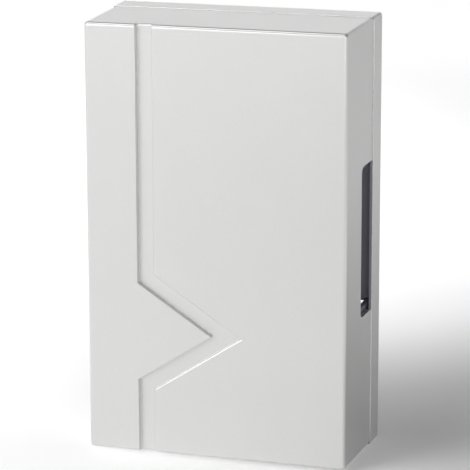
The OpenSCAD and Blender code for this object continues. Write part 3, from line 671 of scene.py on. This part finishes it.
def mixed(tree, fac, a, b, data="FLOAT"):
    """One of two values or colours, by a factor."""
    # Numbers of the node's two inputs and of its output
    first, second, result = {"FLOAT": (2, 3, 0), "RGBA": (6, 7, 2)}[data]
    return add(tree, "Mix", {0: fac, first: a, second: b}, data_type=data).outputs[result]


def paint_parts(tree, where, base):
    """Fine silver paint: flakes too small to see one by one, a faint cloud, and the paint's own soft relief.
    Gives its colour, roughness and normal."""
    flakes = noise(tree, where, 2600, detail=2.0)
    cloud = noise(tree, where, 38, detail=2.0)
    fine = shades(tree, flakes, base, 0.965, 1.03)
    broad = shades(tree, cloud, base, 0.985, 1.01)
    skin = noise(tree, where, 700, detail=1.0)
    relief = bump(tree, skin, 0.05, 0.0001)
    return mixed(tree, 0.4, fine, broad, "RGBA"), spread(tree, flakes, 0.28, 0.36), relief


def silver_paint(base):
    """Silver paint on the cover's outside."""
    material, tree, where = new_material("silver_paint")
    shade_with(tree, *paint_parts(tree, where, base), PAINT_METAL)
    return material


def plastic_parts(tree, where, base, under=None):
    """Moulded plastic: a fine eroded grain and faint flow marks, laid over another relief where one is given.
    Gives its colour, roughness and normal."""
    grain = noise(tree, where, 2200, detail=4.0, roughness=0.6)
    flow = noise(tree, where, (30, 30, 9))
    tone = shades(tree, flow, base, 0.88, 1.12)
    return tone, spread(tree, grain, 0.40, 0.58), bump(tree, grain, 0.25, 0.00006, under)


def moulded(name, base):
    """Plain moulded plastic."""
    material, tree, where = new_material(name)
    shade_with(tree, *plastic_parts(tree, where, base))
    return material


def painted_tray(housing, paint, plastic):
    """Charcoal plastic with softened edges, and the housing's paint within a small depth of the drafted
    outside: the depth is the greater of how far a point lies beyond the side planes and beyond the top and
    bottom planes."""
    material, tree, where = new_material("painted_tray")
    axis = add(tree, "SeparateXYZ", {"Vector": where}).outputs
    lean = maths(tree, "MULTIPLY", axis["Y"], math.tan(housing.draft))
    ragged = spread(tree, noise(tree, where, 900), -RAGGED, RAGGED)

    def beyond(along, half):
        """How far a point lies outside two drafted planes."""
        return maths(tree, "SUBTRACT", maths(tree, "ABSOLUTE", along), maths(tree, "ADD", lean, half))

    depth = maths(tree, "MAXIMUM", beyond(axis["X"], housing.half_w), beyond(axis["Z"], housing.half_h))
    is_paint = maths(tree, "GREATER_THAN", maths(tree, "ADD", depth, ragged), -housing.paint_depth)
    rounded = add(tree, "Bevel", {"Radius": housing.rim_r}, samples=8).outputs["Normal"]
    over, under = paint_parts(tree, where, paint), plastic_parts(tree, where, plastic, rounded)
    tone = mixed(tree, is_paint, under[0], over[0], "RGBA")
    dull = mixed(tree, is_paint, under[1], over[1])
    shade_with(tree, tone, dull, under[2], mixed(tree, is_paint, 0.0, PAINT_METAL))
    return material


def metal(name, base, rough, lines, relief=0.15):
    """Bare or plated metal: fine lines along the axis with the smallest scale, and broad stains."""
    material, tree, where = new_material(name)
    line = noise(tree, where, lines, roughness=0.65)
    stain = noise(tree, where, 60, detail=4.0)
    lined, stained = shades(tree, line, base, 0.86, 1.12), shades(tree, stain, base, 0.84, 1.10)
    tone = mixed(tree, 0.5, lined, stained, "RGBA")
    dull = spread(tree, line, rough - 0.06, rough + 0.08)
    shade_with(tree, tone, dull, bump(tree, line, relief, 0.00003), 1.0)
    return material


def rubbery(name, base, rough):
    """Rubber: dull, with a dusty bloom and a fine skin."""
    material, tree, where = new_material(name)
    bloom = noise(tree, where, 240, detail=4.0)
    skin = noise(tree, where, 2600)
    tone = shades(tree, bloom, base, 0.85, 1.25)
    dull = spread(tree, bloom, rough - 0.08, rough + 0.08)
    shade_with(tree, tone, dull, bump(tree, skin, 0.2, 0.00004))
    return material


def insulation(name, base):
    """Extruded wire insulation: glossy, with faint marks along the wire."""
    material, tree, where = new_material(name)
    marks = noise(tree, where, (1500, 1500, 120), detail=2.0)
    tone = shades(tree, marks, base, 0.9, 1.08)
    shade_with(tree, tone, spread(tree, marks, 0.28, 0.40), bump(tree, marks, 0.1, 0.00002))
    return material


def film_tape(base):
    """Yellow film tape: glossy, with shallow wrinkles round the coil."""
    material, tree, where = new_material("film_tape")
    wrinkles = noise(tree, where, (420, 90, 90), detail=2.0)
    weave = noise(tree, where, 1600, detail=2.0)
    tone = shades(tree, wrinkles, base, 0.86, 1.1)
    shade_with(tree, tone, spread(tree, weave, 0.20, 0.34), bump(tree, wrinkles, 0.3, 0.0002))
    return material


def copper_turns(base):
    """Enamelled wire wound side by side: bands along the coil's axis, about two wires apart. The bands' colour
    darkens where their relief is lowest, as painted shade between the turns.
    """
    material, tree, where = new_material("copper_turns")
    bands = 1 / (2 * math.pi * WINDING_WIRE)
    mapping = add(tree, "Mapping", {"Vector": where, "Scale": (bands, 0, 0)})
    wave = add(
        tree, "TexWave", {"Vector": mapping.outputs["Vector"], "Scale": 1.0, "Distortion": 0.0},
        bands_direction="X",
    ).outputs["Fac"]
    # Painted shade: the colour follows the bands' relief, darkest in the creases between turns
    tone = shades(tree, wave, base, 0.5, 1.1, reach=(0.0, 0.8))
    dull = spread(tree, noise(tree, where, 500), 0.22, 0.36)
    shade_with(tree, tone, dull, bump(tree, wave, 0.6, 0.0001), 0.85)
    return material


# Operators

def dress(material, *names):
    """Gives a finish to CAD nodes."""
    for name in names:
        NODES[name].material_slots[0].material = material


class CHIME_OT_cover(bpy.types.Operator):
    """Builds the painted cover with its groove, slots and inside"""

    bl_idname = "chime.cover"
    bl_label = "Front cover"

    def execute(self, context):
        chime = context.scene.chime
        points, faces, kinds, cuts = cover_shell(chime.housing, chime.groove, chime.slot)
        finish = chime.finishes
        cover = new_piece(
            "painted_cover", points, faces,
            [silver_paint(finish.paint), moulded("cover_inside", finish.plastic)], kinds, "cover",
        )
        mesh = cover.data
        pairs = np.empty(2 * len(mesh.edges), np.int32)
        mesh.edges.foreach_get("vertices", pairs)
        count = len(mesh.vertices)
        key = np.sort(pairs.reshape(-1, 2), axis=1) @ [count, 1]
        on_cut = np.isin(key, np.sort(cuts, axis=1) @ [count, 1])
        weight = mesh.attributes.new("bevel_weight_edge", "FLOAT", "EDGE")
        weight.data.foreach_set("value", on_cut.astype(np.float32))
        soften = cover.modifiers.new("cut edges", "BEVEL")
        soften.limit_method = "WEIGHT"
        soften.width = chime.housing.cut_r
        soften.segments = 2
        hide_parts("front_cover")
        return {"FINISHED"}


class CHIME_OT_tray(bpy.types.Operator):
    """Finishes the base tray: charcoal plastic, painted where its rim shows"""

    bl_idname = "chime.tray"
    bl_label = "Base tray"

    def execute(self, context):
        chime = context.scene.chime
        dress(painted_tray(chime.housing, chime.finishes.paint, chime.finishes.plastic), "base_tray")
        return {"FINISHED"}


class CHIME_OT_solenoid(bpy.types.Operator):
    """Finishes the solenoid and its plunger"""

    bl_idname = "chime.solenoid"
    bl_label = "Solenoid and plunger"

    def execute(self, context):
        finish = context.scene.chime.finishes
        dress(metal("zinc_strip", finish.zinc, 0.34, lines=(700, 700, 90)), "solenoid_frame")
        dress(moulded("natural_nylon", finish.nylon), "coil_bobbin", "striker_tip_low", "striker_tip_high")
        dress(copper_turns(finish.copper), "coil_winding")
        dress(film_tape(finish.tape), "coil_tape")
        dress(metal("drawn_brass", finish.brass, 0.24, lines=(60, 900, 900)), "guide_tube")
        dress(metal("turned_steel", finish.core_steel, 0.28, lines=(2600, 0, 0), relief=0.4), "plunger_core")
        dress(moulded("black_nylon", finish.black_nylon), "spring_collar", "peg_caps")
        screws = metal("zinc_screws", finish.zinc, 0.30, lines=(400, 1500, 400))
        dress(screws, "solenoid_screws", "block_screw")
        return {"FINISHED"}


class CHIME_OT_spring(bpy.types.Operator):
    """Winds the return spring"""

    bl_idname = "chime.spring"
    bl_label = "Return spring"

    def execute(self, context):
        chime = context.scene.chime
        sizes = chime.spring
        turn = np.linspace(0, sizes.turns, SPRING_STEPS * sizes.turns + 1)
        way = math.copysign(1, sizes.end - sizes.start)
        first = sizes.start + way * (sizes.gap + sizes.wire_d / 2)
        last = sizes.end - way * (sizes.gap + sizes.wire_d / 2)
        closed = sizes.closed * sizes.wire_d * CLOSED_PITCH
        across = np.interp(
            turn, [0, sizes.closed, sizes.turns - sizes.closed, sizes.turns],
            [first, first + way * closed, last - way * closed, last],
        )
        angle = 2 * math.pi * turn
        radial = from_wall(0, np.cos(angle), np.sin(angle))
        path = from_wall(across, 0, sizes.axis_out) + sizes.mean_d / 2 * radial
        points, faces, _ = tube(path, sizes.wire_d / 2, radial, SPRING_SIDES)
        spring = new_piece(
            "coil_spring", points, faces,
            [metal("spring_wire", chime.finishes.spring_steel, 0.26, lines=1800)],
        )
        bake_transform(spring)
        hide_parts("return_spring")
        return {"FINISHED"}


class CHIME_OT_plates(bpy.types.Operator):
    """Finishes the tone plates and makes the grommets that carry them"""

    bl_idname = "chime.plates"
    bl_label = "Tone plates"

    def execute(self, context):
        chime = context.scene.chime
        sizes = chime.grommets
        steel = metal("rolled_steel", chime.finishes.bar_steel, 0.30, lines=(1800, 1800, 40), relief=0.25)
        dress(steel, "tone_plate_low", "tone_plate_high")
        points, faces = grommet(sizes, "plate")
        out = -chime.spring.axis_out
        # Along x on the right, and half a turn about z from that on the left
        right = np.stack([sizes.plate_x + points[:, 2], points[:, 0], points[:, 1]], axis=1)
        left = right * [-1, -1, 1]
        pegs = [
            side + [0, out, up * peg]
            for side, peg in ((left, sizes.low_z), (right, sizes.high_z)) for up in (-1, 1)
        ]
        count = len(points)
        all_faces = np.concatenate([faces + k * count for k in range(len(pegs))])
        rings = new_piece(
            "soft_grommets", np.concatenate(pegs), all_faces.tolist(),
            [rubbery("pale_rubber", chime.finishes.silicone, 0.62)], body="base",
        )
        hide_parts("plate_grommets")
        return {"FINISHED"}


class CHIME_OT_terminals(bpy.types.Operator):
    """Finishes the terminal block, its bars, cages and screws"""

    bl_idname = "chime.terminals"
    bl_label = "Terminals"

    def execute(self, context):
        finish = context.scene.chime.finishes
        dress(moulded("grey_polyamide", finish.terminal), "terminal_block")
        for piece, name, base, rough, lines in (
            ("contact_bar", "rolled_brass", finish.brass, 0.28, (900, 900, 80)),
            ("clamp_cage", "zinc_cages", finish.zinc, 0.30, (900, 90, 900)),
            ("clamp_screw", "bright_screws", finish.zinc, 0.24, (400, 1500, 400)),
        ):
            dress(metal(name, base, rough, lines), piece + "_left", piece + "_right")
        return {"FINISHED"}


class CHIME_OT_leads(bpy.types.Operator):
    """Lays the two coil leads along their guides to the contact bars"""

    bl_idname = "chime.leads"
    bl_label = "Coil leads"

    def execute(self, context):
        chime = context.scene.chime
        sizes = chime.leads
        stops = [np.array(p) for p in (
            sizes.coil, sizes.guide_high, sizes.guide_low, sizes.block_high, sizes.block_low, sizes.tail
        )]
        t = np.linspace(0, 1, LEAD_STEPS + 1)
        runs = []
        for a, b in zip(stops[:-2], stops[1:-1]):
            hang = np.array([0, (b[1] - a[1]) / 2, 0])
            runs.append(bezier(a, a + hang, b - hang, b, t)[:-1])
        hang = np.array([0, -sizes.hook, 0])
        t = np.linspace(0, 1, HOOK_STEPS + 1)
        runs.append(bezier(stops[-2], stops[-2] + hang, stops[-1] + hang, stops[-1], t))
        line = np.concatenate(runs)
        # The caps reach half a wire past the line's ends, so the line stops short by that
        line[[0, -1]] += [0, -sizes.wire_d / 2, 0]
        tinned = metal("tinned_end", chime.finishes.tin, 0.26, lines=1500)
        for side, name, word in ((LEFT, "left", "blue"), (RIGHT, "right", "red")):
            path = from_wall(side * line[:, 0], line[:, 1], line[:, 2])
            points, faces, rings = tube(path, sizes.wire_d / 2, np.tile([1.0, 0.0, 0.0], (len(path), 1)))
            insulated = insulation(word + "_insulation", getattr(chime.finishes, word))
            bare = (rings > rings.max() * (1 - sizes.bare)).astype(int)
            lead = new_piece("wire_" + name, points, faces, [insulated, tinned], bare, "base")
            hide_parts("coil_lead_" + name)
        return {"FINISHED"}


class CHIME_OT_cable_entry(bpy.types.Operator):
    """Makes the rubber grommet of the cable entry"""

    bl_idname = "chime.cable_entry"
    bl_label = "Cable entry"

    def execute(self, context):
        chime = context.scene.chime
        sizes = chime.grommets
        points, faces = grommet(sizes, "cable")
        placed = from_wall(points[:, 0], sizes.cable_z + points[:, 1], sizes.cable_from + points[:, 2])
        ring = new_piece(
            "entry_grommet", placed, faces.tolist(), [rubbery("black_rubber", chime.finishes.rubber, 0.7)],
            body="base",
        )
        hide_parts("cable_grommet")
        return {"FINISHED"}


# Studio

def lamp(name, at, size, power):
    """A soft rectangular lamp that faces the middle of the object."""
    data = bpy.data.lights.new(name, "AREA")
    data.shape = "RECTANGLE"
    data.size, data.size_y = size
    data.energy = power
    made = bpy.data.objects.new(name, data)
    aim = (-Vector(at)).to_track_quat("-Z", "Y").to_matrix().to_4x4()
    made.matrix_world = Matrix.Translation(at) @ aim
    bpy.context.scene.collection.objects.link(made)


def studio_surface(stage):
    """Pale matt floor and backdrop, with a little light of its own for the eye and for what mirrors it. That
    glow is painted shade and light: weaker round the object's shadow side and before the camera, stronger in
    bright patches.
    """
    material, tree, where = new_material("studio_surface")
    matt = add(tree, "BsdfDiffuse", {"Color": (*stage.floor, 1)})
    path = add(tree, "LightPath").outputs
    seen = maths(tree, "ADD", path["Is Camera Ray"], path["Is Glossy Ray"])
    seen = maths(tree, "ADD", seen, path["Is Transmission Ray"], use_clamp=True)

    def patch(middle, start, end, inner, outer):
        """A value that runs smoothly from one round a point to another away from it."""
        away = add(tree, "VectorMath", {0: where, 1: middle}, operation="DISTANCE").outputs["Value"]
        return add(
            tree, "MapRange",
            {"Value": away, "From Min": start, "From Max": end, "To Min": inner, "To Max": outer},
            interpolation_type="SMOOTHSTEP",
        ).outputs["Result"]

    # Painted shade: less glow round the object's shadow side and before the camera; the patches below add
    # painted pools of light
    shade = patch(stage.painted_shade_at, stage.painted_shade_from, stage.painted_shade_to, stage.lift, stage.lift + stage.lift_far)
    dim = patch(stage.painted_dim_at, stage.painted_dim_from, stage.painted_dim_to, 0.0, 1.0)
    lift = maths(tree, "MULTIPLY", shade, dim)
    for name, *_ in PATCHES:
        parts = [getattr(stage, name + part) for part in ("_at", "_from", "_to", "_lift")]
        lift = maths(tree, "ADD", lift, patch(*parts, 0.0))
    strength = maths(tree, "MULTIPLY", seen, lift)
    glow = add(tree, "Emission", {"Color": (1, 1, 1, 1), "Strength": strength})
    both = add(tree, "AddShader", {0: matt.outputs[0], 1: glow.outputs[0]})
    add(tree, "OutputMaterial", {"Surface": both.outputs[0]})
    return material


class CHIME_OT_stage(bpy.types.Operator):
    """Sets the floor with its round backdrop, the lamps and the camera"""

    bl_idname = "chime.stage"
    bl_label = "Studio"

    def execute(self, context):
        scene = context.scene
        stage = scene.chime.stage

        # Floor, cove and round wall: an outline turned about the upright axis, at its full height behind the
        # object and sinking to the floor in front of it
        t = np.linspace(0, QUARTER, COVE_STEPS + 1)
        cove_end = COVE_START + COVE_R
        radius = np.concatenate([FLOOR_RINGS, COVE_START + COVE_R * np.sin(t), [cove_end]])
        height = np.concatenate([[0.0] * len(FLOOR_RINGS), COVE_R - COVE_R * np.cos(t), [WALL_TOP]])
        points, angle = revolve(radius, height, BACKDROP_STEPS)
        points[..., 2] *= 0.5 + 0.5 * np.sin(angle)
        points = points.reshape(-1, 3) + [0, 0, TRAY_LOW.z]
        _, first, where = np.unique(np.round(points / WELD), axis=0, return_index=True, return_inverse=True)
        index = where.reshape(len(radius), -1)
        quads, triangles = quads_and_triangles(grid_quads(index, closed=True))
        floor = new_piece(
            "studio_floor", points[first], quads.tolist() + triangles.tolist(), [studio_surface(stage)]
        )

        for row in LAMPS:
            lamp(*row)

        world = bpy.data.worlds.new("room")
        world.use_nodes = True
        background = world.node_tree.nodes["Background"].inputs
        background["Color"].default_value = (1, 1, 1, 1)
        background["Strength"].default_value = stage.room
        scene.world = world

        az, el, roll = stage.azimuth, stage.elevation, stage.roll
        back = Vector((math.sin(az) * math.cos(el), -math.cos(az) * math.cos(el), math.sin(el)))
        right = Vector((math.cos(az), math.sin(az), 0))
        up = back.cross(right)
        turned = math.cos(roll) * right + math.sin(roll) * up
        up = math.cos(roll) * up - math.sin(roll) * right
        data = bpy.data.cameras.new("camera")
        data.lens = stage.lens
        data.clip_start, data.clip_end = CAMERA_CLIP
        camera = bpy.data.objects.new("camera", data)
        camera.matrix_world = (
            Matrix.Translation(Vector(stage.target) + stage.distance * back)
            @ Matrix((turned, up, back)).transposed().to_4x4()
        )
        scene.collection.objects.link(camera)
        scene.camera = camera
        scene.view_settings.view_transform = "Standard"
        return {"FINISHED"}


class CHIME_PT_sidebar(bpy.types.Panel):
    """Lists the chime's pieces and their settings"""

    bl_idname = "CHIME_PT_sidebar"
    bl_label = "Door chime"
    bl_space_type = "VIEW_3D"
    bl_region_type = "UI"
    bl_category = "Chime"

    def draw(self, context):
        for operator in OPERATORS:
            self.layout.operator(operator.bl_idname)
        chime = context.scene.chime
        for name in ChimeSettings.__annotations__:
            box = self.layout.box()
            box.label(text=name.replace("_", " ").capitalize())
            group = getattr(chime, name)
            for prop in type(group).__annotations__:
                box.prop(group, prop)


OPERATORS = (
    CHIME_OT_stage, CHIME_OT_cover, CHIME_OT_tray, CHIME_OT_solenoid, CHIME_OT_spring, CHIME_OT_plates,
    CHIME_OT_terminals, CHIME_OT_leads, CHIME_OT_cable_entry,
)
CLASSES = (
    HousingSizes, GrooveSizes, SlotSizes, SpringSizes, LeadSizes, GrommetSizes, Finishes, StageSettings,
    ChimeSettings, *OPERATORS, CHIME_PT_sidebar,
)


def register():
    """Registers the classes and hangs the settings on the scene."""
    for cls in CLASSES:
        bpy.utils.register_class(cls)
    bpy.types.Scene.chime = PointerProperty(type=ChimeSettings)


def unregister():
    """Takes the settings off the scene and unregisters the classes."""
    del bpy.types.Scene.chime
    for cls in reversed(CLASSES):
        bpy.utils.unregister_class(cls)


def main():
    register()
    for operator in OPERATORS:
        category, name = operator.bl_idname.split(".")
        getattr(getattr(bpy.ops, category), name)()


if __name__ == "__main__":
    main()
